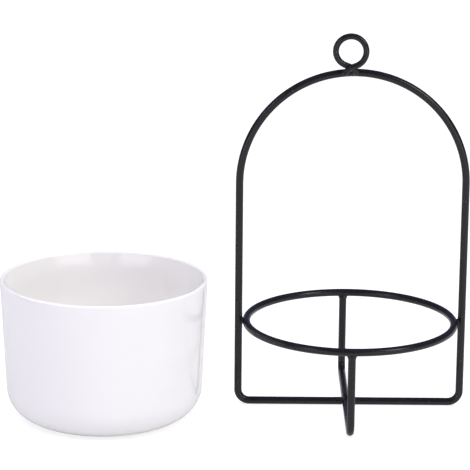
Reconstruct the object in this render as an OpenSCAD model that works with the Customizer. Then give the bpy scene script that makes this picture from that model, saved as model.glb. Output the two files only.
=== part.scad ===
// Hanging plant holder: a bent wire frame with a hanging eye, and the loose ceramic pot that it carries.
// The origin is on the ground under the middle of the frame. +Z is up and -Y is the front.
// The pot stands on the ground to the left of the frame, and fits down through the frame's ring.

/* [Wire] */
// Diameter of the coated wire of the hoop, the support ring and the cross stand
wire_d = 5.3; // [4:0.1:6]
// Centreline radius of the wire bends at the foot
bend_r = 8; // [6:0.5:14]
// Gap between two wires where weld metal joins them
weld_gap = 0.2; // [0.2:0.1:0.6]

/* [Hoop] */
// Outside width of the hoop
hoop_w = 160.5; // [130:0.5:200]
// Height of the hoop's top above the ground
hoop_h = 239.4; // [190:0.1:300]

/* [Support ring] */
// Height of the ring's wire centre above the ground
ring_z = 61; // [45:1:75]

/* [Cross stand] */
// How far left of the hoop's middle the cross stand is welded
stand_off = 1.8; // [0:0.1:4]

/* [Hanging eye] */
// Diameter of the eye's coated wire
eye_wire_d = 4.2; // [3:0.1:5]
// Inside diameter of the eye
eye_hole_d = 16.3; // [13:0.1:24]
// Angle from the eye's lowest point at which each end leaves the loop in a straight line
eye_cross_angle = 25; // [20:1:32]
// Height of the point where the ends cross above the centre of the hoop's top wire
eye_rise = 4.4; // [4:0.1:6]
// How far the front end stands forward of the back end where they cross
eye_step = 2.8; // [2:0.1:3.2]
// Length of each end past the point where they cross
eye_tail = 5.5; // [4.5:0.1:7]
// How far left of the hoop's middle the eye is welded
eye_off = 3.3; // [0:0.1:5]

/* [Welds] */
// How far the weld between a leg and the ring stands out past the leg
leg_weld_out = 1.2; // [0.6:0.1:2]
// Radius of the weld metal between the ring and each leg of the hoop
ring_weld_r = 2.4; // [1.8:0.1:3]
// How far the weld at the foot stands out past the hoop's bar
foot_weld_out = 0.5; // [0.3:0.1:0.8]
// Length along the hoop's bar from its end to the middle of that weld
foot_weld_in = 1; // [0.8:0.1:1.6]
// Radius of the weld metal between the eye's ends and the hoop
eye_weld_r = 2.1; // [2:0.1:2.6]
// Length of that weld metal along the hoop
eye_weld_len = 9.4; // [8:0.1:11]
// How far the middle of that weld metal stands forward of the hoop's wire
eye_weld_out = 1.4; // [1.2:0.1:1.8]
// Height of the middle of that weld metal above the centre of the hoop's top wire
eye_weld_up = 0.7; // [0.4:0.1:1.2]

/* [Pot] */
// Height of the pot
pot_h = 97.5; // [80:0.5:120]
// Gap between the pot and the ring, all round, when the pot is seated on the crossed bars
pot_clearance = 0.4; // [0.3:0.1:3]
// Lean of the pot's wall out from upright
pot_taper = 2.7; // [0.5:0.1:4]
// Thickness of the pot's wall
pot_wall = 4.4; // [3.6:0.1:5]
// Thickness of the pot's rounded rim
pot_rim = 3.1; // [2.5:0.1:3.5]
// Height of the band inside the rim where the wall thins
pot_band = 14; // [10:1:20]
// Thickness of the pot's floor above its foot recess
pot_floor = 4; // [3:0.1:6]
// Radius of the pot's rounded lower edge
pot_edge_r = 22; // [15:1:28]
// Width of the flat ring that the pot stands on
foot_w = 6; // [4:0.5:9]
// Depth of the recess inside that ring
foot_recess = 1; // [0.5:0.1:1.5]

/* [Placing] */
// Gap between the pot's rim and the hoop, side by side on the ground
pot_gap = 18.5; // [10:0.5:60]
// How far the pot stands forward of the middle of the frame
pot_forward = 22; // [0:1:60]

/* [Hidden] */
// Facets of a full turn of the wire's section and of everything small
small_fn = 96;
// Facets of a full turn of the large round bends
large_fn = 360;
$fn = small_fn;

wire_r = wire_d / 2;
wire_color = "#303034";
weld_color = "#3a3a3e";
pot_color = "#f6f4f2";

// The hoop's legs, arch and foot, all on the wire's centreline
leg_x = hoop_w / 2 - wire_r;
arch_z = hoop_h - hoop_w / 2;
top_z = hoop_h - wire_r;
stand_x = -stand_off;
bar_gap = wire_r + weld_gap;

// The ring lies between the legs, and the cross stand's legs come up under its wire
ring_r = leg_x - wire_d - weld_gap;
leg_top_z = ring_z - wire_r - weld_gap;

// The eye's halves lean apart from the top of its loop, so that one end passes in front of the other.
// Drops are measured from there, along a half.
eye_wire_r = eye_wire_d / 2;
eye_r = eye_hole_d / 2 + eye_wire_r;
end_len = eye_r * tan(eye_cross_angle) + eye_tail;
cross_drop = eye_r + eye_r / cos(eye_cross_angle);
tip_drop = cross_drop + eye_tail * sin(eye_cross_angle);
eye_lean = asin(eye_step / 2 / cross_drop);
eye_top_z = top_z + eye_rise + cross_drop * cos(eye_lean);

// The tip of the back end lies against the front of the hoop's top wire
tip_rise = eye_top_z - tip_drop * cos(eye_lean) - top_z;
tip_y = -sqrt(pow(wire_r + weld_gap + eye_wire_r, 2) - pow(tip_rise, 2));
eye_y = tip_y - tip_drop * sin(eye_lean);

// The pot's wall clears the ring where the ring is level with it, and widens from there to the rim
ring_above_bars = ring_z - wire_d;
pot_r = ring_r - wire_r - pot_clearance + (pot_h - ring_above_bars) * tan(pot_taper);
floor_z = foot_recess + pot_floor;
inner_edge_r = pot_edge_r - pot_wall;
lip_r = pot_rim / 2;
edge_x = inside_x(pot_r, pot_edge_r, pot_edge_r);
inner_rim_r = pot_r - pot_wall / cos(pot_taper);
band_r = inner_rim_r - pot_band * tan(pot_taper);
inner_edge_x = inside_x(inner_rim_r, inner_edge_r, floor_z + inner_edge_r);
lip_x = inside_x(pot_r, lip_r, pot_h - lip_r);
pot_x = -(hoop_w / 2 + pot_gap + pot_r);

// Distance from the axis to the centre of a circle of radius r at height z that touches
// a leaning wall from inside, where the wall has the radius rim_r at the pot's full height
function inside_x(rim_r, r, z) = rim_r - (r + (pot_h - z) * sin(pot_taper)) / cos(pot_taper);

// Point on the outer side of such a circle, where it touches the wall
function touch(x, r, z) = [x + r * cos(pot_taper), z - r * sin(pot_taper)];

// Round rod from one point to another
module rod(from, to, d) {
    v = to - from;
    length = norm(v);
    translate(from)
        rotate([0, acos(v[2] / length), atan2(v[1], v[0])])
            cylinder(h = length, d = d);
}

// Quarter bend of wire in the XZ plane, from a leg on the left down to a bar that runs right
module foot_bend() {
    translate([bend_r, 0, bend_r])
        rotate([90, 0, 0])
            rotate([0, 0, 180])
                rotate_extrude(angle = 90)
                    translate([bend_r, 0])
                        circle(d = wire_d);
}

// Left half of a U of wire: a leg down to the foot, a quarter bend and a bar along the ground
module half_u(x, leg_z, bar_to) {
    rod([-x, 0, leg_z], [-x, 0, wire_r + bend_r], wire_d);
    translate([-x, 0, wire_r]) foot_bend();
    rod([-x + bend_r, 0, wire_r], [bar_to, 0, wire_r], wire_d);
}

// The hoop's round top, from leg to leg
module arch_wire() {
    translate([0, 0, arch_z])
        rotate([90, 0, 0])
            rotate_extrude(angle = 180, $fn = large_fn)
                translate([leg_x, 0])
                    circle(d = wire_d, $fn = small_fn);
}

module hoop_wire() {
    arch_wire();
    half_u(leg_x, arch_z, stand_x - bar_gap);
    mirror([1, 0, 0]) half_u(leg_x, arch_z, -stand_x - bar_gap);
}

module ring_wire() {
    translate([0, 0, ring_z])
        rotate_extrude($fn = large_fn)
            translate([ring_r, 0])
                circle(d = wire_d, $fn = small_fn);
}

module stand_wire() {
    translate([stand_x, 0, 0])
        rotate([0, 0, 90]) {
            half_u(ring_r, leg_top_z, 0);
            mirror([1, 0, 0]) half_u(ring_r, leg_top_z, 0);
        }
}

// Places the right half of the eye, hung from the origin: it leans to the front.
// Mirrored, it is the left half and leans to the back.
module lean_right() {
    translate([-eye_off, eye_y, eye_top_z]) rotate([-eye_lean, 0, 0]) children();
}

module lean_left() {
    translate([-eye_off, eye_y, eye_top_z]) rotate([eye_lean, 0, 0]) mirror([1, 0, 0]) children();
}

// Turns the right half of the eye's loop about the loop's centre, so that its end leaves it at X
module turn_half() {
    translate([0, 0, -eye_r]) rotate([90, 0, 0]) rotate([0, 0, eye_cross_angle - 90]) children();
}

// The right half of the loop, from the top to where its end leaves it
module half_loop() {
    turn_half()
        rotate_extrude(angle = 180 - eye_cross_angle)
            translate([eye_r, 0])
                circle(d = eye_wire_d);
}

// The straight end of that half, which crosses to the left
module half_end() {
    turn_half() translate([eye_r, 0, 0]) rotate([90, 0, 0]) cylinder(h = end_len, d = eye_wire_d);
}

module eye_wire() {
    lean_right() half_loop();
    lean_left() half_loop();
    eye_ends();
}

// The eye's two ends, crossed
module eye_ends() {
    lean_right() half_end();
    lean_left() half_end();
}

module hoop() {
    color(wire_color) hoop_wire();
}

module support_ring() {
    color(wire_color) ring_wire();
}

module cross_stand() {
    color(wire_color) stand_wire();
}

module hanging_eye() {
    color(wire_color) eye_wire();
}

// Weld metal between the ring and the hoop's leg on the right
module right_ring_weld() {
    color(weld_color)
        difference() {
            translate([ring_r + wire_r + weld_gap / 2, 0, ring_z]) sphere(r = ring_weld_r);
            ring_wire();
            rod([leg_x, 0, wire_r + bend_r], [leg_x, 0, arch_z], wire_d);
        }
}

module left_ring_weld() {
    mirror([1, 0, 0]) right_ring_weld();
}

// Weld metal between the ring and the top of the cross stand's back leg
module back_leg_weld() {
    color(weld_color)
        difference() {
            translate([stand_x, ring_r, leg_top_z]) sphere(r = wire_r + leg_weld_out);
            ring_wire();
            rod([stand_x, ring_r, wire_r + bend_r], [stand_x, ring_r, leg_top_z], wire_d);
        }
}

module front_leg_weld() {
    mirror([0, 1, 0]) back_leg_weld();
}

// Weld metal round an end of the hoop's wire, where it meets the cross stand's bar, drawn for the
// right end with that bar along the Y axis
module foot_weld() {
    bead_r = wire_r + foot_weld_out;
    bead_x = bar_gap + foot_weld_in;
    color(weld_color)
        difference() {
            translate([bead_x, 0, wire_r]) sphere(r = bead_r);
            // The bead is kept off the ground
            translate([0, -bead_r, -bead_r]) cube([bead_x + bead_r, bead_r * 2, bead_r + foot_weld_out]);
            rod([bar_gap, 0, wire_r], [leg_x - bend_r, 0, wire_r], wire_d);
            rod([0, -ring_r + bend_r, wire_r], [0, ring_r - bend_r, wire_r], wire_d);
        }
}

module right_foot_weld() {
    translate([stand_x, 0, 0]) foot_weld();
}

module left_foot_weld() {
    translate([stand_x, 0, 0]) mirror([1, 0, 0]) foot_weld();
}

// Weld metal in the crook between the eye's two ends and the front of the hoop's top
module eye_weld() {
    color(weld_color)
        difference() {
            translate([-eye_off, -wire_r - eye_weld_out, top_z + eye_weld_up])
                rotate([0, 90, 0])
                    cylinder(r = eye_weld_r, h = eye_weld_len, center = true);
            arch_wire();
            eye_ends();
        }
}

module pot() {
    edge_touch = touch(edge_x, pot_edge_r, pot_edge_r);
    inner_z = floor_z + inner_edge_r;
    inner_touch = touch(inner_edge_x, inner_edge_r, inner_z);
    lip_z = pot_h - lip_r;
    lip_out = touch(lip_x, lip_r, lip_z);
    lip_in = touch(lip_x, -lip_r, lip_z);
    band_start = [band_r, pot_h - pot_band];
    above = pot_h + lip_r;
    color(pot_color)
        translate([pot_x, -pot_forward, 0])
            rotate_extrude()
                union() {
                    difference() {
                        union() {
                            polygon([
                                [0, 0], [edge_x, 0], [edge_x, pot_edge_r], edge_touch,
                                lip_out, lip_in, [0, lip_in[1]]
                            ]);
                            translate([edge_x, pot_edge_r]) circle(r = pot_edge_r);
                        }
                        polygon([
                            [0, floor_z], [inner_edge_x, floor_z], [inner_edge_x, inner_z], inner_touch,
                            band_start, lip_in, [lip_in[0], above], [0, above]
                        ]);
                        translate([inner_edge_x, inner_z]) circle(r = inner_edge_r);
                        translate([0, -foot_recess]) square([edge_x - foot_w, foot_recess * 2]);
                    }
                    translate([lip_x, lip_z]) circle(r = lip_r);
                }
}

hoop();
support_ring();
cross_stand();
hanging_eye();
left_ring_weld();
right_ring_weld();
front_leg_weld();
back_leg_weld();
left_foot_weld();
right_foot_weld();
eye_weld();
pot();
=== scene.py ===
"""Looks of the hanging plant holder: coated wires with welds, a glazed pot and a plain studio stage."""

import math

import bpy
from mathutils import Matrix, Quaternion, Vector


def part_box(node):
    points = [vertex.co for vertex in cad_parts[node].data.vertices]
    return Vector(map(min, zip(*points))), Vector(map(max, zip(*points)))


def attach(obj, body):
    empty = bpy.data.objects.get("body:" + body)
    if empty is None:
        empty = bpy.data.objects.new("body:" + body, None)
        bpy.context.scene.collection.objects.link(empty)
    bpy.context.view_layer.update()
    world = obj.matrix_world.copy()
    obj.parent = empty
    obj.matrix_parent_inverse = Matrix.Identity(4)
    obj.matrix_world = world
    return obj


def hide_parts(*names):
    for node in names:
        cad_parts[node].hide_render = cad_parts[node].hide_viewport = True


bl_info = {
    "name": "Hanging Plant Holder",
    "version": (1, 0, 0),
    "blender": (4, 5, 0),
    "location": "3D View > Sidebar > Plant Holder",
    "description": "Models a hanging plant holder's coated wires, welds and glazed pot, and its stage",
    "category": "Object",
}

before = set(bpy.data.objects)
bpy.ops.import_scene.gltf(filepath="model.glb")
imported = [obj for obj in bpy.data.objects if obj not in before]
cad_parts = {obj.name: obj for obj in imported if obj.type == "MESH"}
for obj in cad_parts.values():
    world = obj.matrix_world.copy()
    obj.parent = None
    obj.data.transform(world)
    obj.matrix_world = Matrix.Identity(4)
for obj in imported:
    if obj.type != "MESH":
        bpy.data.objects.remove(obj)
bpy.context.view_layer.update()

MM = 0.001
UP = Vector((0, 0, 1))
LEFT = Vector((-1, 0, 0))
RIGHT = Vector((1, 0, 0))
BACK = Vector((0, 1, 0))
QUARTER_TURN = math.pi / 2

# Sides of a wire's round section, and the longest stretch of wire between two of its sections
WIRE_SIDES = 32
WIRE_STEP = 1.2 * MM
# The pot's profile is spun in this many steps. Its points lie this far apart on straights, on the wide
# bends and on the narrow ones.
POT_STEPS = 240
POT_STRAIGHT = 2.5 * MM
POT_BEND = 1 * MM
POT_EDGE = 0.25 * MM
# Points closer than this are the same point
SAME = 0.002 * MM
# Faces that meet at less than this are shaded as one smooth surface
SMOOTH_BELOW = math.radians(50)

# How far weld metal runs out along the wires that it joins, and along the top of the hoop at the eye
WELD_REACH = 7 * MM
EYE_WELD_REACH = 9 * MM
# How beads of weld metal are squashed along X, Y and Z. The eye's bead has a length of its own along X.
RING_BEAD_SHAPE = (0.6, 1, 1)
LEG_BEAD_SHAPE = (1, 1, 0.8)
FOOT_BEAD_SHAPE = (0.7, 0.94, 0.92)
EYE_BEAD_SHAPE = (0.8, 0.9)

# Roughness of the powder coat, which shines less on weld metal
WIRE_ROUGHNESS = 0.24
WELD_ROUGHNESS = 0.29
# Both the coat and the glaze bend light about as window glass does
FINISH_IOR = 1.5

# The camera's place, how many degrees it looks down and is rolled, its sensor's width in millimetres, and
# how near and far it sees
CAMERA_PLACE = Vector((-80.48, -1547.4, 529.2)) * MM
CAMERA_DOWN = 14.730
CAMERA_ROLL = 0.45
CAMERA_SENSOR = 36
CAMERA_CLIP = (0.05, 60)
# How many metres the four softboxes in front stand from the pot, and the one overhead from the ground
LAMP_DISTANCE = 1.9
OVERHEAD_DISTANCE = 2.2
# The middle of the pot and the frame, which the overhead softbox is over
STAGE_MIDDLE = Vector((-0.08, 0, 0))

# How white the ground is to scattered light. Where it is seen, one part is matt and takes the lamps'
# light and the pieces' shadows, and the rest glows. Out of the lamps' reach, between these distances from
# the middle in metres, the glow rises to 1, so that the ground is white up to the backdrop.
GROUND_WHITE = 0.86
GROUND_MATT = 0.34
GROUND_GLOW = 0.8
GROUND_RISE = (1.6, 3.2)
# The glow of the ground and of the backdrop where they are mirrored
GROUND_MIRRORED = 0.45
BACKDROP_MIRRORED = 0.3
# The backdrop's radius as a share of the floor's width, and the number of its sides
BACKDROP_SHARE = 0.48
BACKDROP_SIDES = 64
# Colour of the light from all round, which is bluer than the softboxes
ROOM_TINT = "#b0b8ff"


def box_middle(node):
    """The middle of a node's box."""
    low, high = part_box(node)
    return (Vector(low) + Vector(high)) / 2


def box_sides(node):
    """A node's width, depth and height."""
    low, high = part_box(node)
    return Vector(high) - Vector(low)


def length(name, default, description):
    """A size in metres that the user can change. The default is given to a hundredth of a millimetre."""
    return bpy.props.FloatProperty(
        name=name, description=description, default=round(default, 5), min=0, precision=5,
        unit="LENGTH", subtype="DISTANCE",
    )


def angle(name, degrees, description):
    """An angle that the user can change. The default is given in degrees."""
    return bpy.props.FloatProperty(
        name=name, description=description, default=math.radians(degrees), min=0,
        unit="ROTATION", subtype="ANGLE",
    )


def number(name, default, description):
    """A plain number that the user can change."""
    return bpy.props.FloatProperty(name=name, description=description, default=default, min=0)


def colour(name, hex_code, description):
    """A colour that the user can change. The default is given as an sRGB hex colour."""
    return bpy.props.FloatVectorProperty(
        name=name, description=description, default=linear(hex_code), size=4, min=0, max=1, subtype="COLOR",
    )


def linear(hex_code):
    """Turns an sRGB hex colour into Blender's linear colour."""
    parts = [int(hex_code[i:i + 2], 16) / 255 for i in (1, 3, 5)]
    return tuple(p / 12.92 if p <= 0.04045 else ((p + 0.055) / 1.055) ** 2.4 for p in parts) + (1.0,)


class HolderWireSizes(bpy.types.PropertyGroup):
    """Sizes of the bent wires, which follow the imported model"""

    wire_d: length(
        "Wire", box_sides("support_ring").z,
        "Diameter of the coated wire of the hoop, the ring and the cross stand",
    )
    hoop_w: length("Hoop width", box_sides("hoop").x, "Outside width of the hoop")
    hoop_h: length(
        "Hoop height", round(box_sides("hoop").z, 4), "Height of the hoop's top above the ground",
    )
    bend_r: length("Foot bends", 8 * MM, "Centreline radius of the wire bends at the foot")
    weld_gap: length("Weld gap", 0.2 * MM, "Gap between two wires where weld metal joins them")
    ring_z: length(
        "Ring height", box_middle("support_ring").z, "Height of the ring's wire centre above the ground",
    )
    stand_off: length(
        "Stand offset", -box_middle("cross_stand").x, "How far left of the middle the cross stand is",
    )
    eye_wire_d: length("Eye wire", 4.2 * MM, "Diameter of the hanging eye's coated wire")
    eye_w: length("Eye width", box_sides("hanging_eye").x, "Outside width of the hanging eye")
    eye_off: length("Eye offset", -box_middle("hanging_eye").x, "How far left of the middle the eye is")
    eye_cross: angle("Eye crossing", 21, "Angle from the eye's lowest point at which its ends leave the loop")
    eye_rise: length(
        "Crossing height", 4.7 * MM, "Height above the hoop's top wire at which straight ends would cross",
    )
    eye_step: length(
        "Crossing step", 2.8 * MM, "How far the front end stands forward of the back one at the crossing",
    )
    eye_lead: length("Eye ends", 3.0 * MM, "Length of each end's straight start")
    eye_end_r: length("End bends", 8 * MM, "Radius of the bend that turns each end down towards the hoop")
    eye_end_turn: angle("End bend angle", 28, "How far that bend turns each end down")
    eye_tip: length("Eye tips", 3.6 * MM, "Length of each end past its bend")
    cut_edge: length("Cut edge", 0.45 * MM, "How far the coat rounds the edge of a cut wire end")
    coat_dip: length("Coat unevenness", 0.05 * MM, "How deep the coat's shallow dips are")
    coat_grain: length("Dip size", 7 * MM, "How wide those dips are")


class HolderWeldSizes(bpy.types.PropertyGroup):
    """Sizes of the coated weld metal"""

    cell: length("Mesh cell", 0.22 * MM, "Size of the faces of the weld meshes")
    skin: length("Skin", 0.07 * MM, "How much fatter than the wire the metal is that feathers out over it")
    lump: length("Lump depth", 0.12 * MM, "How deep the hollows between the lumps of the weld metal are")
    lump_grain: length("Lump size", 1.6 * MM, "How wide the lumps of the weld metal are")
    leg_bead: length("Leg bead", 3.2 * MM, "Radius of the metal round the top of a leg, under the ring")
    ring_bead: length("Ring bead", 2.4 * MM, "Radius of the metal between the ring and a leg of the hoop")
    foot_bead: length("Foot bead", 2.95 * MM, "Radius of the metal round an end of the hoop's wire")
    eye_bead: length("Eye bead", 2.1 * MM, "Radius of the metal between the eye's ends and the hoop")
    eye_bead_len: length("Eye bead length", 7.4 * MM, "Length of that metal along the hoop")


class HolderPotSizes(bpy.types.PropertyGroup):
    """Sizes of the pot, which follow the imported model"""

    height: length("Height", round(box_sides("pot").z, 4), "Height of the pot")
    rim_r: length(
        "Rim radius", 71.02 * MM, "Outside radius that the wall would have at the pot's full height",
    )
    taper: angle("Taper", 2.7, "Lean of the pot's wall out from upright")
    wall: length("Wall", 4.4 * MM, "Thickness of the wall")
    rim: length("Rim", 3.1 * MM, "Thickness of the rounded rim")
    band: length("Rim band", 10.5 * MM, "Height of the band inside the rim where the wall thins")
    band_ease: length("Band bend", 3 * MM, "Length of wall over which it turns into that band, each way")
    floor: length("Floor", 4 * MM, "Thickness of the floor above its recess")
    edge_r: length("Lower edge", 22 * MM, "Radius of the rounded lower edge")
    foot_w: length("Foot", 6 * MM, "Width of the flat ring that the pot stands on")
    recess: length("Recess", 1 * MM, "Depth of the recess inside that ring")
    foot_edge: length("Foot edge", 0.6 * MM, "Radius of the sponged edges of that ring")
    bare_h: length("Bare foot", 0.35 * MM, "Height up to which the glaze is wiped off the foot")
    dip: length("Unevenness", 0.12 * MM, "How deep the shallow dips in the cast wall are")
    dip_grain: length("Dip size", 45 * MM, "How wide those dips are")


class HolderFinishes(bpy.types.PropertyGroup):
    """Colours of the finishes"""

    coat: colour("Powder coat", "#141416", "Colour of the powder coat on the wires")
    coat_light: colour("Powder coat, thin", "#1b1b1e", "Colour of the powder coat where it lies thin")
    weld: colour("Coated weld", "#18181b", "Colour of the powder coat on weld metal")
    speck: colour("Specks", "#77777e", "Colour of the tiny pale specks in the powder coat")
    glaze: colour("Glaze", "#f6f5f2", "Colour of the pot's glaze")
    glaze_deep: colour("Glaze, pooled", "#f4f2ee", "Colour of the glaze where it lies thick")
    bisque: colour("Bare foot", "#e6ddcf", "Colour of the pot's unglazed foot")
    ground: colour("Ground", "#ffffff", "Colour of the floor")


class HolderStageSizes(bpy.types.PropertyGroup):
    """Sizes of the studio stage"""

    floor_w: length("Floor", 24, "Width of the floor")
    backdrop_h: length("Backdrop", 1.25, "Height of the backdrop")
    lens: number("Lens", 177.75, "Focal length of the camera in millimetres")
    key: number("Right softbox", 5.9, "Brightness of the softbox on the right")
    fill: number("Left softbox", 5.0, "Brightness of the softbox on the left")
    panels: number("Low panels", 2.5, "Brightness of the two low panels in front")
    top: number("Overhead softbox", 1.65, "Brightness of the softbox overhead")
    air: number("Room light", 0.17, "Brightness of the light from all round")


# Modelling

def pick(*objects):
    """Selects these objects and nothing else, the first one active."""
    bpy.ops.object.select_all(action="DESELECT")
    for obj in objects:
        obj.select_set(True)
    bpy.context.view_layer.objects.active = objects[0]


def bake_place(obj, name):
    """Names an object and moves its place, turn and scale into its mesh."""
    obj.name = obj.data.name = name
    bpy.ops.object.transform_apply(location=True, rotation=True, scale=True)
    return obj


def edit():
    """Opens the active piece in edit mode, where its points are selected."""
    bpy.ops.object.mode_set(mode="EDIT")
    bpy.ops.mesh.select_mode(type="VERT")


def leave_edit():
    """Goes back to object mode."""
    bpy.ops.object.mode_set(mode="OBJECT")


def follow(at, heading, path):
    """Draws what is selected in edit mode along a path, and returns the path's end.
    A step is ("run", length, longest stretch) or ("bend", radius, angle, side, longest stretch),
    where side points from the wire to the centre of the bend."""
    for kind, size, *rest in path:
        if kind == "run":
            count = max(1, math.ceil(size / rest[0]))
            bpy.ops.mesh.extrude_repeat(steps=count, offset=heading * size / count)
            at = at + heading * size
            continue
        angle, side, stretch = rest
        centre = at + side * size
        axis = heading.cross(side).normalized()
        count = max(4, math.ceil(size * angle / stretch))
        # With no window, the spin operator turns clockwise about its axis
        bpy.ops.mesh.spin(steps=count, angle=-angle, center=centre, axis=axis)
        turn = Quaternion(axis, angle)
        at = centre + turn @ (at - centre)
        heading = (turn @ heading).normalized()
    return at, heading


def start_section(name, at, heading, radius):
    """Starts a wire: a circle across its heading, selected in edit mode."""
    bpy.ops.object.select_all(action="DESELECT")
    turn = UP.rotation_difference(heading).to_euler()
    bpy.ops.mesh.primitive_circle_add(
        vertices=WIRE_SIDES, radius=radius, fill_type="NOTHING", location=at, rotation=turn,
    )
    obj = bake_place(bpy.context.object, name)
    edit()
    bpy.ops.mesh.select_all(action="SELECT")
    return obj


def close_mesh():
    """Merges what is double, closes open ends and turns all faces outwards."""
    bpy.ops.mesh.select_all(action="SELECT")
    bpy.ops.mesh.remove_doubles(threshold=SAME)
    bpy.ops.mesh.fill_holes(sides=0)
    bpy.ops.mesh.select_all(action="SELECT")
    bpy.ops.mesh.normals_make_consistent(inside=False)


def wire(name, at, heading, radius, path, cut_edge=0.0):
    """Draws a round wire along a path, from one cut end to the other."""
    obj = start_section(name, at, heading, radius)
    follow(at, heading, path)
    close_mesh()
    if cut_edge:
        bpy.ops.mesh.select_mode(type="FACE")
        bpy.ops.mesh.select_all(action="DESELECT")
        bpy.ops.mesh.select_face_by_sides(number=WIRE_SIDES, type="EQUAL", extend=False)
        bpy.ops.mesh.bevel(offset=cut_edge, segments=3, affect="EDGES")
    leave_edit()
    return obj


def apply_modifier(obj, kind, **settings):
    """Adds a modifier with these settings and applies it."""
    pick(obj)
    bpy.ops.object.modifier_add(type=kind)
    modifier = obj.modifiers[-1]
    for key, value in settings.items():
        setattr(modifier, key, value)
    bpy.ops.object.modifier_apply(modifier=modifier.name)


def make_uneven(obj, depth, grain):
    """Sinks the surface in soft shallow dips. Nothing is raised, so the piece stays inside its node."""
    clouds = bpy.data.textures.new(obj.name + "_dips", "CLOUDS")
    clouds.noise_scale = grain
    clouds.noise_depth = 1
    apply_modifier(obj, "DISPLACE", texture=clouds, texture_coords="LOCAL", strength=depth, mid_level=1.0)
    bpy.data.textures.remove(clouds)


def finish_piece(obj, body, slot, material, *nodes):
    """Gives a finished piece its material, if it hasn't one, hangs it on the body it rides on, and hides the
    nodes that it stands for.
    """
    pick(obj)
    bpy.ops.object.shade_smooth_by_angle(angle=SMOOTH_BELOW)
    if material:
        obj.data.materials.clear()
        obj.data.materials.append(material)
    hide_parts(*nodes)
    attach(obj, body)


# The wires' own shapes, each as (start, heading, wire radius, path)

def hoop_shape(s):
    """The hoop, from its left end in the foot, over the arch, to its right end."""
    r = s.wire_d / 2
    leg_x = s.hoop_w / 2 - r
    leg_len = s.hoop_h - s.hoop_w / 2 - r - s.bend_r
    gap = r + s.weld_gap
    start = Vector((-s.stand_off - gap, 0, r))
    path = [
        ("run", leg_x - s.bend_r + start.x, WIRE_STEP),
        ("bend", s.bend_r, QUARTER_TURN, UP, WIRE_STEP),
        ("run", leg_len, WIRE_STEP),
        ("bend", leg_x, math.pi, RIGHT, WIRE_STEP),
        ("run", leg_len, WIRE_STEP),
        ("bend", s.bend_r, QUARTER_TURN, LEFT, WIRE_STEP),
        ("run", leg_x - s.bend_r - (gap - s.stand_off), WIRE_STEP),
    ]
    return start, LEFT, r, path


def ring_radius(s):
    """Radius of the ring to its wire's middle. The ring fits between the hoop's legs with a gap each side."""
    return s.hoop_w / 2 - s.wire_d * 1.5 - s.weld_gap


def stand_shape(s):
    """The cross stand, from the top of its front leg, under the foot, to the top of its back leg."""
    r = s.wire_d / 2
    leg_y = ring_radius(s)
    leg_top = s.ring_z - r - s.weld_gap
    start = Vector((-s.stand_off, -leg_y, leg_top))
    leg_len = leg_top - r - s.bend_r
    path = [
        ("run", leg_len, WIRE_STEP),
        ("bend", s.bend_r, QUARTER_TURN, BACK, WIRE_STEP),
        ("run", (leg_y - s.bend_r) * 2, WIRE_STEP),
        ("bend", s.bend_r, QUARTER_TURN, UP, WIRE_STEP),
        ("run", leg_len, WIRE_STEP),
    ]
    return start, -UP, r, path


def eye_places(s):
    """The top of the eye's loop, how its right half leans to the front, and the loop's radius."""
    r = s.wire_d / 2
    eye_wire_r = s.eye_wire_d / 2
    loop_r = s.eye_w / 2 - eye_wire_r
    cross_drop = loop_r + loop_r / math.cos(s.eye_cross)
    lean = math.asin(s.eye_step / 2 / cross_drop)
    top_z = s.hoop_h - r
    loop_top_z = top_z + s.eye_rise + cross_drop * math.cos(lean)
    # The tip of the back end lies against the front of the hoop's top wire
    steep = s.eye_cross + s.eye_end_turn
    bend_drop = s.eye_end_r * (math.cos(s.eye_cross) - math.cos(steep))
    tip_drop = loop_r * (1 + math.cos(s.eye_cross)) + s.eye_lead * math.sin(s.eye_cross)
    tip_drop += bend_drop + s.eye_tip * math.sin(steep)
    tip_rise = loop_top_z - tip_drop * math.cos(lean) - top_z
    tip_y = -math.sqrt((r + s.weld_gap + eye_wire_r) ** 2 - tip_rise ** 2)
    top = Vector((-s.eye_off, tip_y - tip_drop * math.sin(lean), loop_top_z))
    return top, lean, loop_r


def eye_end(s, side):
    """One end of the eye: its tip, the heading from there back to the loop, the path up to the loop, the
    side to which the loop bends on, and the side to which the end bends down from the loop.
    Side is 1 for the end of the right half, which passes in front, and -1 for the other."""
    top, lean, loop_r = eye_places(s)
    tilt = Matrix.Rotation(-lean * side, 3, "X")

    def across(angle, size=1.0):
        """The way out from the loop's centre at an angle from its lowest point, in the half's own plane."""
        return tilt @ Vector((math.sin(angle) * side, 0, -math.cos(angle))) * size

    def along(angle, size=1.0):
        """The way from the loop towards the tip at that angle, in the same plane."""
        return tilt @ Vector((-math.cos(angle) * side, 0, -math.sin(angle))) * size

    steep = s.eye_cross + s.eye_end_turn
    centre = top + tilt @ Vector((0, 0, -loop_r))
    bend_start = centre + across(s.eye_cross, loop_r) + along(s.eye_cross, s.eye_lead)
    bend_end = bend_start + across(s.eye_cross, s.eye_end_r) - across(steep, s.eye_end_r)
    step = WIRE_STEP / 2
    path = [
        ("run", s.eye_tip, step), ("bend", s.eye_end_r, s.eye_end_turn, across(steep), step),
        ("run", s.eye_lead, step),
    ]
    loop_side = -across(s.eye_cross)
    return bend_end + along(steep, s.eye_tip), -along(steep), path, loop_side, across(s.eye_cross)


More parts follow.
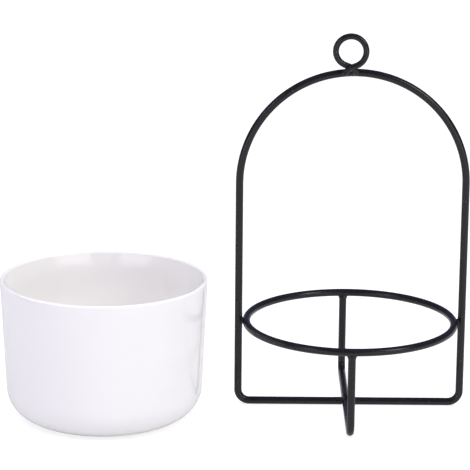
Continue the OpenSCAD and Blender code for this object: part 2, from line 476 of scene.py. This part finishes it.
def eye_shape(s):
    """The hanging eye, from its front end, up round the loop, to its back end."""
    _, lean, loop_r = eye_places(s)
    tip, heading, path, loop_side, _ = eye_end(s, 1)
    down_left = Matrix.Rotation(lean, 3, "X") @ -UP
    around = math.pi - s.eye_cross
    step = WIRE_STEP / 2
    loop = [("bend", loop_r, around, loop_side, step), ("bend", loop_r, around, down_left, step)]
    *_, bend_side = eye_end(s, -1)
    back = [
        ("run", s.eye_lead, step), ("bend", s.eye_end_r, s.eye_end_turn, bend_side, step),
        ("run", s.eye_tip, step),
    ]
    return tip, heading, s.eye_wire_d / 2, path + loop + back


def weld_metal(name, stubs, bead, w):
    """Joins short lengths of the wires, fattened by the skin, and a bead into one blended piece of weld
    metal. A bead is its middle and its three radii."""
    parts = []
    for at, heading, radius, path in stubs:
        parts.append(wire(name, at, heading, radius + w.skin, path))
    middle, radii = bead
    bpy.ops.object.select_all(action="DESELECT")
    bpy.ops.mesh.primitive_uv_sphere_add(segments=32, ring_count=16, radius=1, location=middle)
    ball = bpy.context.object
    ball.scale = radii
    parts.append(bake_place(ball, name))
    pick(*parts)
    bpy.ops.object.join()
    joined = bpy.context.object
    joined.name = joined.data.name = name
    apply_modifier(joined, "REMESH", mode="VOXEL", voxel_size=w.cell, use_smooth_shade=True)
    apply_modifier(joined, "SMOOTH", factor=0.5, iterations=30)
    make_uneven(joined, w.lump, w.lump_grain)
    return joined


# Materials

def new_material(name):
    """A new node material, with its node tree and its shader."""
    material = bpy.data.materials.new(name)
    material.use_nodes = True
    tree = material.node_tree
    return material, tree, tree.nodes["Principled BSDF"]


def add_node(tree, kind, settings=None, **inputs):
    """Adds a node, sets its settings, and sets or links its inputs. An input goes by its name, with _ for
    each space, or by its number after an i."""
    node = tree.nodes.new(kind)
    for key, value in (settings or {}).items():
        setattr(node, key, value)
    for key, value in inputs.items():
        socket = node.inputs[int(key[1:])] if key[1:].isdigit() else node.inputs[key.replace("_", " ")]
        if isinstance(value, bpy.types.NodeSocket):
            tree.links.new(value, socket)
        else:
            socket.default_value = value
    return node


def dimmed(base, share):
    """A colour at a share of its brightness."""
    return tuple(share * part for part in base[:3]) + (1.0,)


def powder_coat(name, base, thin, speck, rough):
    """Satin black polyester powder coat on steel, sprayed and baked. To the eye it is a soft black skin
    with a fine orange-peel texture, a broad dull shine and a few pale specks of dust baked into it."""
    material, tree, shader = new_material(name)
    where = add_node(tree, "ShaderNodeTexCoord").outputs["Object"]
    # The coat lies thicker and thinner in patches
    patch_w = 12 * MM
    patches = add_node(tree, "ShaderNodeTexNoise", Vector=where, Scale=1 / patch_w, Detail=2.0)
    blend = add_node(
        tree, "ShaderNodeMix", {"data_type": "RGBA"}, i0=patches.outputs["Fac"], i6=base, i7=thin,
    )
    # A speck sits in about one of seven cells. Real ones are finer, and wouldn't show. The radius of its
    # dot, and of the soft edge round that, are shares of a cell.
    cell_w = 2.6 * MM
    dot_r, edge_r = 0.05, 0.13
    bare_cells = 0.86
    cells = add_node(tree, "ShaderNodeTexVoronoi", Vector=where, Scale=1 / cell_w, Randomness=1.0)
    dot = add_node(
        tree, "ShaderNodeMapRange", Value=cells.outputs["Distance"],
        From_Min=dot_r, From_Max=edge_r, To_Min=1.0, To_Max=0.0,
    )
    chosen = add_node(
        tree, "ShaderNodeMath", {"operation": "GREATER_THAN"}, i0=cells.outputs["Color"], i1=bare_cells,
    )
    specks = add_node(
        tree, "ShaderNodeMath", {"operation": "MULTIPLY"}, i0=dot.outputs["Result"], i1=chosen.outputs[0],
    )
    speckled = add_node(
        tree, "ShaderNodeMix", {"data_type": "RGBA"},
        i0=specks.outputs[0], i6=blend.outputs[2], i7=speck,
    )
    tree.links.new(speckled.outputs[2], shader.inputs["Base Color"])
    # Orange peel has waves of about 0.5 mm, drawn wider so that it shows
    peel_w, peel_depth = 0.9 * MM, 0.03 * MM
    peel = add_node(tree, "ShaderNodeTexNoise", Vector=where, Scale=1 / peel_w, Detail=1.0)
    bump = add_node(
        tree, "ShaderNodeBump", Height=peel.outputs["Fac"], Strength=0.3, Distance=peel_depth,
    )
    tree.links.new(bump.outputs["Normal"], shader.inputs["Normal"])
    spread = 0.05
    sheen = add_node(
        tree, "ShaderNodeMapRange", Value=patches.outputs["Fac"],
        From_Min=0.3, From_Max=0.7, To_Min=rough - spread, To_Max=rough + spread,
    )
    tree.links.new(sheen.outputs["Result"], shader.inputs["Roughness"])
    shader.inputs["IOR"].default_value = FINISH_IOR
    shader.inputs["Specular IOR Level"].default_value = 0.38
    return material


def white_glaze(name, glaze, deep):
    """Clear glaze over white stoneware, dipped and fired. To the eye it is a deep even white with a wet
    shine, whose reflections waver a little because the glaze ran before it set."""
    material, tree, shader = new_material(name)
    where = add_node(tree, "ShaderNodeTexCoord").outputs["Object"]
    # The glaze lies thick in pools
    pool_w = 35 * MM
    pools = add_node(tree, "ShaderNodeTexNoise", Vector=where, Scale=1 / pool_w, Detail=1.5)
    body = add_node(
        tree, "ShaderNodeMix", {"data_type": "RGBA"}, i0=pools.outputs["Fac"], i6=glaze, i7=deep,
    )
    tree.links.new(body.outputs[2], shader.inputs["Base Color"])
    # Its surface has low waves
    wave_w, wave_depth = 11 * MM, 0.12 * MM
    waves = add_node(tree, "ShaderNodeTexNoise", Vector=where, Scale=1 / wave_w, Detail=1.0)
    bump = add_node(
        tree, "ShaderNodeBump", Height=waves.outputs["Fac"], Strength=0.35, Distance=wave_depth,
    )
    tree.links.new(bump.outputs["Normal"], shader.inputs["Normal"])
    gloss = add_node(
        tree, "ShaderNodeMapRange", Value=pools.outputs["Fac"],
        From_Min=0.3, From_Max=0.7, To_Min=0.08, To_Max=0.13,
    )
    tree.links.new(gloss.outputs["Result"], shader.inputs["Roughness"])
    shader.inputs["IOR"].default_value = FINISH_IOR
    return material


def bare_stoneware(name, bisque):
    """Unglazed fired stoneware, wiped and sponged. To the eye it is a dry cream with a fine sandy grain."""
    material, tree, shader = new_material(name)
    where = add_node(tree, "ShaderNodeTexCoord").outputs["Object"]
    grain_w, grain_depth = 0.4 * MM, 0.05 * MM
    grains = add_node(tree, "ShaderNodeTexNoise", Vector=where, Scale=1 / grain_w, Detail=2.0)
    darker = dimmed(bisque, 0.86)
    body = add_node(
        tree, "ShaderNodeMix", {"data_type": "RGBA"}, i0=grains.outputs["Fac"], i6=darker, i7=bisque,
    )
    tree.links.new(body.outputs[2], shader.inputs["Base Color"])
    bump = add_node(
        tree, "ShaderNodeBump", Height=grains.outputs["Fac"], Strength=0.6, Distance=grain_depth,
    )
    tree.links.new(bump.outputs["Normal"], shader.inputs["Normal"])
    shader.inputs["Roughness"].default_value = 0.9
    return material


# Pieces

def coat_material(context, welded=False):
    """The powder coat of the wires, or of the welds, made once."""
    name = "powder_coat_on_weld" if welded else "powder_coat_on_wire"
    found = bpy.data.materials.get(name)
    if found:
        return found
    f = context.scene.holder_finish
    if welded:
        return powder_coat(name, tuple(f.weld), tuple(f.coat_light), tuple(f.speck), WELD_ROUGHNESS)
    return powder_coat(name, tuple(f.coat), tuple(f.coat_light), tuple(f.speck), WIRE_ROUGHNESS)


def dress_wire(context, name, shape, node):
    """Bends one of the wires and finishes it in place of its node."""
    s = context.scene.holder_wire
    obj = wire(name, *shape(s), cut_edge=s.cut_edge)
    make_uneven(obj, s.coat_dip, s.coat_grain)
    finish_piece(obj, "frame", "coated_wire", coat_material(context), node)


class HOLDER_OT_hoop(bpy.types.Operator):
    """Bends the hoop: a round arch on two legs, with rounded corners and a flat foot"""

    bl_idname = "holder.hoop"
    bl_label = "Hoop"

    def execute(self, context):
        dress_wire(context, "hoop_wire", hoop_shape, "hoop")
        return {"FINISHED"}


class HOLDER_OT_ring(bpy.types.Operator):
    """Rolls the support ring"""

    bl_idname = "holder.ring"
    bl_label = "Support Ring"

    def execute(self, context):
        s = context.scene.holder_wire
        ring_r = ring_radius(s)
        start = Vector((ring_r, 0, s.ring_z))
        obj = start_section("support_ring_wire", start, BACK, s.wire_d / 2)
        follow(start, BACK, [("bend", ring_r, math.tau, LEFT, WIRE_STEP)])
        close_mesh()
        leave_edit()
        make_uneven(obj, s.coat_dip, s.coat_grain)
        finish_piece(obj, "frame", "coated_wire", coat_material(context), "support_ring")
        return {"FINISHED"}


class HOLDER_OT_stand(bpy.types.Operator):
    """Bends the cross stand: two legs under the ring and a bar across the foot"""

    bl_idname = "holder.stand"
    bl_label = "Cross Stand"

    def execute(self, context):
        dress_wire(context, "cross_stand_wire", stand_shape, "cross_stand")
        return {"FINISHED"}


class HOLDER_OT_eye(bpy.types.Operator):
    """Bends the hanging eye: a loop whose two ends cross in front of the hoop's top"""

    bl_idname = "holder.eye"
    bl_label = "Hanging Eye"

    def execute(self, context):
        dress_wire(context, "hanging_eye_wire", eye_shape, "hanging_eye")
        return {"FINISHED"}


def ring_stub(s, middle_angle, half_len):
    """A short length of the ring's wire about an angle, which is counted from +X."""
    ring_r = ring_radius(s)
    begin = middle_angle - half_len / ring_r
    out = Vector((math.cos(begin), math.sin(begin), 0))
    heading = Vector((-out.y, out.x, 0))
    step = ("bend", ring_r, half_len * 2 / ring_r, -out, WIRE_STEP)
    return Vector((0, 0, s.ring_z)) + out * ring_r, heading, s.wire_d / 2, [step]


def straight_stub(at, heading, radius, size):
    """A short straight length of wire."""
    return at, heading, radius, [("run", size, WIRE_STEP)]


def squashed(radius, shape):
    """The radii of a bead, squashed to a shape."""
    return tuple(radius * part for part in shape)


class HOLDER_OT_welds(bpy.types.Operator):
    """Models the coated weld metal at the ring, the legs, the foot and the eye"""

    bl_idname = "holder.welds"
    bl_label = "Welds"

    def execute(self, context):
        s = context.scene.holder_wire
        w = context.scene.holder_weld
        material = coat_material(context, welded=True)
        welds = {}
        for place, side in (("right", 1), ("left", -1)):
            welds[place + "_ring"] = self.ring_weld(s, w, side)
        for place, side in (("front", -1), ("back", 1)):
            welds[place + "_leg"] = self.leg_weld(s, w, side)
        for place, side in (("right", 1), ("left", -1)):
            welds[place + "_foot"] = self.foot_weld(s, w, side)
        welds["eye"] = self.eye_weld(s, w)
        for place, (stubs, bead) in welds.items():
            weld = weld_metal(place + "_bead", stubs, bead, w)
            finish_piece(weld, "frame", "coated_weld", material, place + "_weld")
        return {"FINISHED"}

    def ring_weld(self, s, w, side):
        """Between the ring and a leg of the hoop, on the right for side 1 and on the left for -1."""
        r = s.wire_d / 2
        # The skin is kept within the hoop's width
        leg_x = side * (s.hoop_w / 2 - r - w.skin)
        leg = straight_stub(Vector((leg_x, 0, s.ring_z - WELD_REACH)), UP, r, WELD_REACH * 2)
        ring = ring_stub(s, 0 if side > 0 else math.pi, WELD_REACH)
        between = Vector((side * (ring_radius(s) + r + s.weld_gap / 2), 0, s.ring_z))
        return [leg, ring], (between, squashed(w.ring_bead, RING_BEAD_SHAPE))

    def leg_weld(self, s, w, side):
        """Round the top of the cross stand's front leg for side -1, and of its back leg for 1."""
        r = s.wire_d / 2
        leg_y = side * ring_radius(s)
        top = Vector((-s.stand_off, leg_y, s.ring_z - r - s.weld_gap))
        ring = ring_stub(s, math.atan2(leg_y, -s.stand_off), WELD_REACH)
        leg = straight_stub(top - UP * WELD_REACH, UP, r, WELD_REACH)
        drop = 0.4 * MM
        return [ring, leg], (top - UP * drop, squashed(w.leg_bead, LEG_BEAD_SHAPE))

    def foot_weld(self, s, w, side):
        """Between the hoop's right end and the cross stand's bar for side 1, and its left end for -1."""
        r = s.wire_d / 2
        # The skin is kept off the ground
        z = r + w.skin
        end = Vector((side * (r + s.weld_gap) - s.stand_off, 0, z))
        hoop_end = straight_stub(end, RIGHT * side, r, WELD_REACH)
        bar = straight_stub(Vector((-s.stand_off, -WELD_REACH, z)), BACK, r, WELD_REACH * 2)
        along = 0.6 * MM
        return [hoop_end, bar], (end + RIGHT * side * along, squashed(w.foot_bead, FOOT_BEAD_SHAPE))

    def eye_weld(self, s, w):
        """Between the eye's two ends and the top of the hoop."""
        r = s.wire_d / 2
        arch_r = s.hoop_w / 2 - r
        half = EYE_WELD_REACH / arch_r
        begin = -math.asin(s.eye_off / arch_r) - half
        centre = Vector((0, 0, s.hoop_h - s.hoop_w / 2))
        out = Vector((math.sin(begin), 0, math.cos(begin)))
        heading = Vector((out.z, 0, -out.x))
        arch = (centre + out * arch_r, heading, r, [("bend", arch_r, half * 2, -out, WIRE_STEP)])
        ends = []
        for side in (1, -1):
            tip, way, path, *_ = eye_end(s, side)
            # The skin stops short of the tip, so that its cut edge shows
            short = s.cut_edge * 1.5
            path[0] = ("run", s.eye_tip - short, WIRE_STEP)
            ends.append((tip + way * short, way, s.eye_wire_d / 2, path))
        ahead, above = 1 * MM, 0.2 * MM
        middle = Vector((-s.eye_off, -r - ahead, s.hoop_h - r + above))
        return [arch, *ends], (middle, (w.eye_bead_len / 2, *squashed(w.eye_bead, EYE_BEAD_SHAPE)))


def circle_x(p, radius, z, rim_r):
    """Distance from the pot's axis to the middle, at height z, of a circle that touches a leaning wall from
    inside. At the pot's full height that wall would stand rim_r from the axis."""
    return rim_r - (radius + (p.height - z) * math.sin(p.taper)) / math.cos(p.taper)


class HOLDER_OT_pot(bpy.types.Operator):
    """Spins the glazed pot about its axis"""

    bl_idname = "holder.pot"
    bl_label = "Pot"

    def execute(self, context):
        p = context.scene.holder_pot
        f = context.scene.holder_finish
        bpy.ops.object.select_all(action="DESELECT")
        bpy.ops.mesh.primitive_circle_add(vertices=3, radius=MM, fill_type="NOTHING", location=(0, 0, 0))
        obj = bake_place(bpy.context.object, "glazed_pot")
        edit()
        bpy.ops.mesh.select_all(action="SELECT")
        bpy.ops.mesh.merge(type="CENTER")
        self.draw_section(p)
        bpy.ops.mesh.select_all(action="SELECT")
        bpy.ops.mesh.remove_doubles(threshold=SAME)
        bpy.ops.mesh.spin(steps=POT_STEPS, angle=math.tau, center=(0, 0, 0), axis=UP)
        close_mesh()
        place = box_middle("pot")
        bpy.ops.transform.translate(value=(place.x, place.y, 0))
        leave_edit()
        make_uneven(obj, p.dip, p.dip_grain)
        glaze = white_glaze("white_glaze_on_stoneware", tuple(f.glaze), tuple(f.glaze_deep))
        bisque = bare_stoneware("bare_stoneware_foot", tuple(f.bisque))
        obj.data.materials.append(glaze)
        obj.data.materials.append(bisque)
        for face in obj.data.polygons:
            if max(obj.data.vertices[v].co.z for v in face.vertices) < p.bare_h:
                face.material_index = 1
        finish_piece(obj, "pot", "glazed_pot", None, "pot")
        return {"FINISHED"}

    def draw_section(self, p):
        """Draws half of the pot's section from the one selected point, which lies at the origin: out along
        the floor, up inside the wall, over the rim, down the outside and in along the underside."""
        up_wall = Vector((math.sin(p.taper), 0, math.cos(p.taper)))
        in_wall = Vector((-math.cos(p.taper), 0, math.sin(p.taper)))
        corner = QUARTER_TURN - p.taper
        floor_z = p.recess + p.floor
        inner_r = p.edge_r - p.wall
        inner_rim = p.rim_r - p.wall / math.cos(p.taper)
        inner_x = circle_x(p, inner_r, floor_z + inner_r, inner_rim)
        outer_x = circle_x(p, p.edge_r, p.edge_r, p.rim_r)
        outer_low = Vector((outer_x, 0, p.edge_r)) - in_wall * p.edge_r
        lip_r = p.rim / 2
        lip = Vector((circle_x(p, lip_r, p.height - lip_r, p.rim_r), 0, p.height - lip_r))
        lip_in = lip + in_wall * lip_r
        band = Vector((inner_rim - p.band * math.tan(p.taper), 0, p.height - p.band))
        band_way = (lip_in - band).normalized()
        # The wall turns into the thinner band through a soft bend rather than at a line
        band_turn = up_wall.angle(band_way)
        ease_r = p.band_ease / math.tan(band_turn / 2)
        band_side = -in_wall if band_way.x > up_wall.x else in_wall
        # Where the foot's two rounded edges leave nothing straight between them, a hair of it stays
        e = p.foot_edge
        foot_step = max(p.recess - e * 2, 0.01 * MM)
        start = Vector((0, 0, floor_z))
        bpy.ops.transform.translate(value=start)
        at, _ = follow(start, RIGHT, [
            ("run", inner_x, POT_STRAIGHT), ("bend", inner_r, corner, UP, POT_BEND),
        ])
        at, _ = follow(at, up_wall, [
            ("run", (band - at).length - p.band_ease, POT_STRAIGHT),
            ("bend", ease_r, band_turn, band_side, POT_BEND),
        ])
        at, heading = follow(at, band_way, [("run", (lip_in - at).length, POT_STRAIGHT)])
        at, _ = follow(at, heading, [("bend", lip_r, math.pi, (lip - at).normalized(), POT_EDGE)])
        at, _ = follow(at, -up_wall, [
            ("run", (outer_low - at).length, POT_STRAIGHT), ("bend", p.edge_r, corner, in_wall, POT_BEND),
        ])
        follow(at, LEFT, [
            ("run", p.foot_w - e, POT_BEND),
            ("bend", e, QUARTER_TURN, UP, POT_EDGE),
            ("run", foot_step, POT_EDGE * 2),
            ("bend", e, QUARTER_TURN, LEFT, POT_EDGE),
            ("run", outer_x - p.foot_w - e, POT_STRAIGHT),
        ])


# Stage

def direct_rays(tree):
    """1 for rays from the camera and rays that reflect or pass through, 0 for light that scatters."""
    rays = add_node(tree, "ShaderNodeLightPath")
    shiny = add_node(
        tree, "ShaderNodeMath", {"operation": "MAXIMUM"},
        i0=rays.outputs["Is Glossy Ray"], i1=rays.outputs["Is Transmission Ray"],
    )
    return add_node(
        tree, "ShaderNodeMath", {"operation": "MAXIMUM"},
        i0=rays.outputs["Is Camera Ray"], i1=shiny.outputs[0],
    ).outputs[0]


def whiteness(tree, seen, mirrored):
    """How much white ground glows, as seen by the camera and as mirrored. It is greyer where it is
    mirrored, as the real ground was in the photograph's reflections."""
    rays = add_node(tree, "ShaderNodeLightPath")
    return add_node(
        tree, "ShaderNodeMix", {"data_type": "FLOAT"}, i0=rays.outputs["Is Glossy Ray"], i2=seen, i3=mirrored,
    ).outputs[0]


def dress_ground(obj, material, tree, scattered, seen):
    """Gives the floor or the backdrop a look for the light that scatters off it, and another for the camera
    and for reflections."""
    show = add_node(
        tree, "ShaderNodeMixShader",
        i0=direct_rays(tree), i1=scattered.outputs[0], i2=seen.outputs[0],
    )
    tree.links.new(show.outputs[0], tree.nodes["Material Output"].inputs["Surface"])
    obj.data.materials.append(material)


class HOLDER_OT_stage(bpy.types.Operator):
    """Sets up the floor, the backdrop, the softboxes, the room light and the camera"""

    bl_idname = "holder.stage"
    bl_label = "Stage"

    def execute(self, context):
        st = context.scene.holder_stage
        ground = tuple(context.scene.holder_finish.ground)
        self.floor(st, ground)
        self.backdrop(st, ground)
        self.room(context.scene, st)
        pot = box_middle("pot")
        self.softbox(
            "right_softbox", pot,
            azimuth=57, elevation=37, size=(0.6, 0.72), strength=st.key, tint="#fffdfa",
        )
        self.softbox(
            "left_softbox", pot,
            azimuth=-46, elevation=32, size=(0.42, 0.55), strength=st.fill, tint="#efe8ff",
        )
        # Low panels that show as two soft windows inside the pot's rim
        self.softbox(
            "right_panel", pot,
            azimuth=40.4, elevation=6, size=(1.47, 0.3), strength=st.panels, tint="#fffefa",
        )
        self.softbox(
            "left_panel", pot,
            azimuth=-36, elevation=6, size=(1.27, 0.3), strength=st.panels, tint="#f4f2ff",
        )
        overhead = self.softbox(
            "overhead_softbox", STAGE_MIDDLE,
            azimuth=0, elevation=90, size=(5, 4.4), strength=st.top, tint="#fffdfd",
            distance=OVERHEAD_DISTANCE,
        )
        # The wires are dark along their tops in the photograph, so they don't mirror it
        overhead.visible_glossy = False
        self.camera(context.scene, st)
        context.scene.view_settings.view_transform = "Standard"
        return {"FINISHED"}

    def floor(self, st, ground):
        """White ground, which stays white to the camera while it takes a soft shadow."""
        bpy.ops.object.select_all(action="DESELECT")
        bpy.ops.mesh.primitive_plane_add(size=st.floor_w, location=(0, 0, 0))
        obj = bake_place(bpy.context.object, "studio_floor")
        material, tree, shader = new_material("studio_ground")
        tree.nodes.remove(shader)
        plain = add_node(tree, "ShaderNodeBsdfDiffuse", Color=dimmed(ground, GROUND_WHITE))
        matt = add_node(tree, "ShaderNodeBsdfDiffuse", Color=dimmed(ground, GROUND_MATT))
        where = add_node(tree, "ShaderNodeTexCoord").outputs["Object"]
        away = add_node(tree, "ShaderNodeVectorMath", {"operation": "LENGTH"}, i0=where)
        glowing = add_node(
            tree, "ShaderNodeMapRange", {"interpolation_type": "SMOOTHSTEP"}, Value=away.outputs["Value"],
            From_Min=GROUND_RISE[0], From_Max=GROUND_RISE[1], To_Min=GROUND_GLOW, To_Max=1.0,
        )
        strength = whiteness(tree, glowing.outputs["Result"], GROUND_MIRRORED)
        glow = add_node(tree, "ShaderNodeEmission", Color=ground, Strength=strength)
        seen = add_node(tree, "ShaderNodeAddShader", i0=matt.outputs[0], i1=glow.outputs[0])
        dress_ground(obj, material, tree, plain, seen)

    def backdrop(self, st, ground):
        """Low white backdrop all round, far off. It is only seen and mirrored, and gives no light."""
        bpy.ops.object.select_all(action="DESELECT")
        bpy.ops.mesh.primitive_cylinder_add(
            vertices=BACKDROP_SIDES, radius=st.floor_w * BACKDROP_SHARE, depth=st.backdrop_h,
            end_fill_type="NOTHING", location=(0, 0, st.backdrop_h / 2),
        )
        obj = bake_place(bpy.context.object, "studio_backdrop")
        material, tree, shader = new_material("studio_white_backdrop")
        tree.nodes.remove(shader)
        strength = whiteness(tree, 1.0, BACKDROP_MIRRORED)
        glow = add_node(tree, "ShaderNodeEmission", Color=ground, Strength=strength)
        clear = add_node(tree, "ShaderNodeBsdfTransparent")
        dress_ground(obj, material, tree, clear, glow)

    def room(self, scene, st):
        """Weak light from all round."""
        world = bpy.data.worlds.new("studio_room")
        scene.world = world
        world.use_nodes = True
        light = world.node_tree.nodes["Background"]
        light.inputs["Color"].default_value = linear(ROOM_TINT)
        light.inputs["Strength"].default_value = st.air

    def softbox(self, name, target, azimuth, elevation, size, strength, tint, distance=LAMP_DISTANCE):
        """A softbox that faces the target from an azimuth, counted from the front towards the right, and an
        elevation, both in degrees. Its size is its width and height."""
        a, e = math.radians(azimuth), math.radians(elevation)
        away = Vector((math.sin(a) * math.cos(e), -math.cos(a) * math.cos(e), math.sin(e)))
        bpy.ops.object.light_add(type="AREA", location=target + away * distance)
        obj = bpy.context.object
        obj.name = obj.data.name = name
        lamp = obj.data
        lamp.shape = "RECTANGLE"
        lamp.size, lamp.size_y = size
        # An area lamp of so many watts has a radiance of watts / (pi * area)
        lamp.energy = strength * math.pi * size[0] * size[1]
        lamp.color = linear(tint)[:3]
        obj.visible_camera = False
        obj.rotation_euler = (target - obj.location).to_track_quat("-Z", "Y").to_euler()
        return obj

    def camera(self, scene, st):
        """The camera stands where the photograph was taken from, and is rolled a little as it was."""
        bpy.ops.object.camera_add(location=(0, 0, 0))
        obj = bpy.context.object
        obj.name = obj.data.name = "camera"
        obj.data.sensor_width = CAMERA_SENSOR
        obj.data.lens = st.lens
        obj.data.clip_start, obj.data.clip_end = CAMERA_CLIP
        pitch = Matrix.Rotation(math.radians(90 - CAMERA_DOWN), 4, "X")
        roll = Matrix.Rotation(math.radians(CAMERA_ROLL), 4, "Z")
        obj.matrix_world = Matrix.Translation(CAMERA_PLACE) @ pitch @ roll
        scene.camera = obj


class HOLDER_PT_panel(bpy.types.Panel):
    """Lists the pieces and the sizes they are made from"""

    bl_idname = "HOLDER_PT_panel"
    bl_label = "Plant Holder"
    bl_space_type = "VIEW_3D"
    bl_region_type = "UI"
    bl_category = "Plant Holder"

    def draw(self, context):
        for operator in OPERATORS:
            self.layout.operator(operator.bl_idname)
        for name, group in GROUPS.items():
            box = self.layout.box()
            for key in group.__annotations__:
                box.prop(getattr(context.scene, name), key)


GROUPS = {
    "holder_wire": HolderWireSizes,
    "holder_weld": HolderWeldSizes,
    "holder_pot": HolderPotSizes,
    "holder_finish": HolderFinishes,
    "holder_stage": HolderStageSizes,
}
OPERATORS = (
    HOLDER_OT_hoop, HOLDER_OT_ring, HOLDER_OT_stand, HOLDER_OT_eye,
    HOLDER_OT_welds, HOLDER_OT_pot, HOLDER_OT_stage,
)


def register():
    for item in (*GROUPS.values(), *OPERATORS, HOLDER_PT_panel):
        bpy.utils.register_class(item)
    for name, group in GROUPS.items():
        setattr(bpy.types.Scene, name, bpy.props.PointerProperty(type=group))


def unregister():
    for name in GROUPS:
        delattr(bpy.types.Scene, name)
    for item in reversed((*GROUPS.values(), *OPERATORS, HOLDER_PT_panel)):
        bpy.utils.unregister_class(item)


def main():
    register()
    bpy.ops.holder.hoop()
    bpy.ops.holder.ring()
    bpy.ops.holder.stand()
    bpy.ops.holder.eye()
    bpy.ops.holder.welds()
    bpy.ops.holder.pot()
    bpy.ops.holder.stage()


if __name__ == "__main__":
    main()
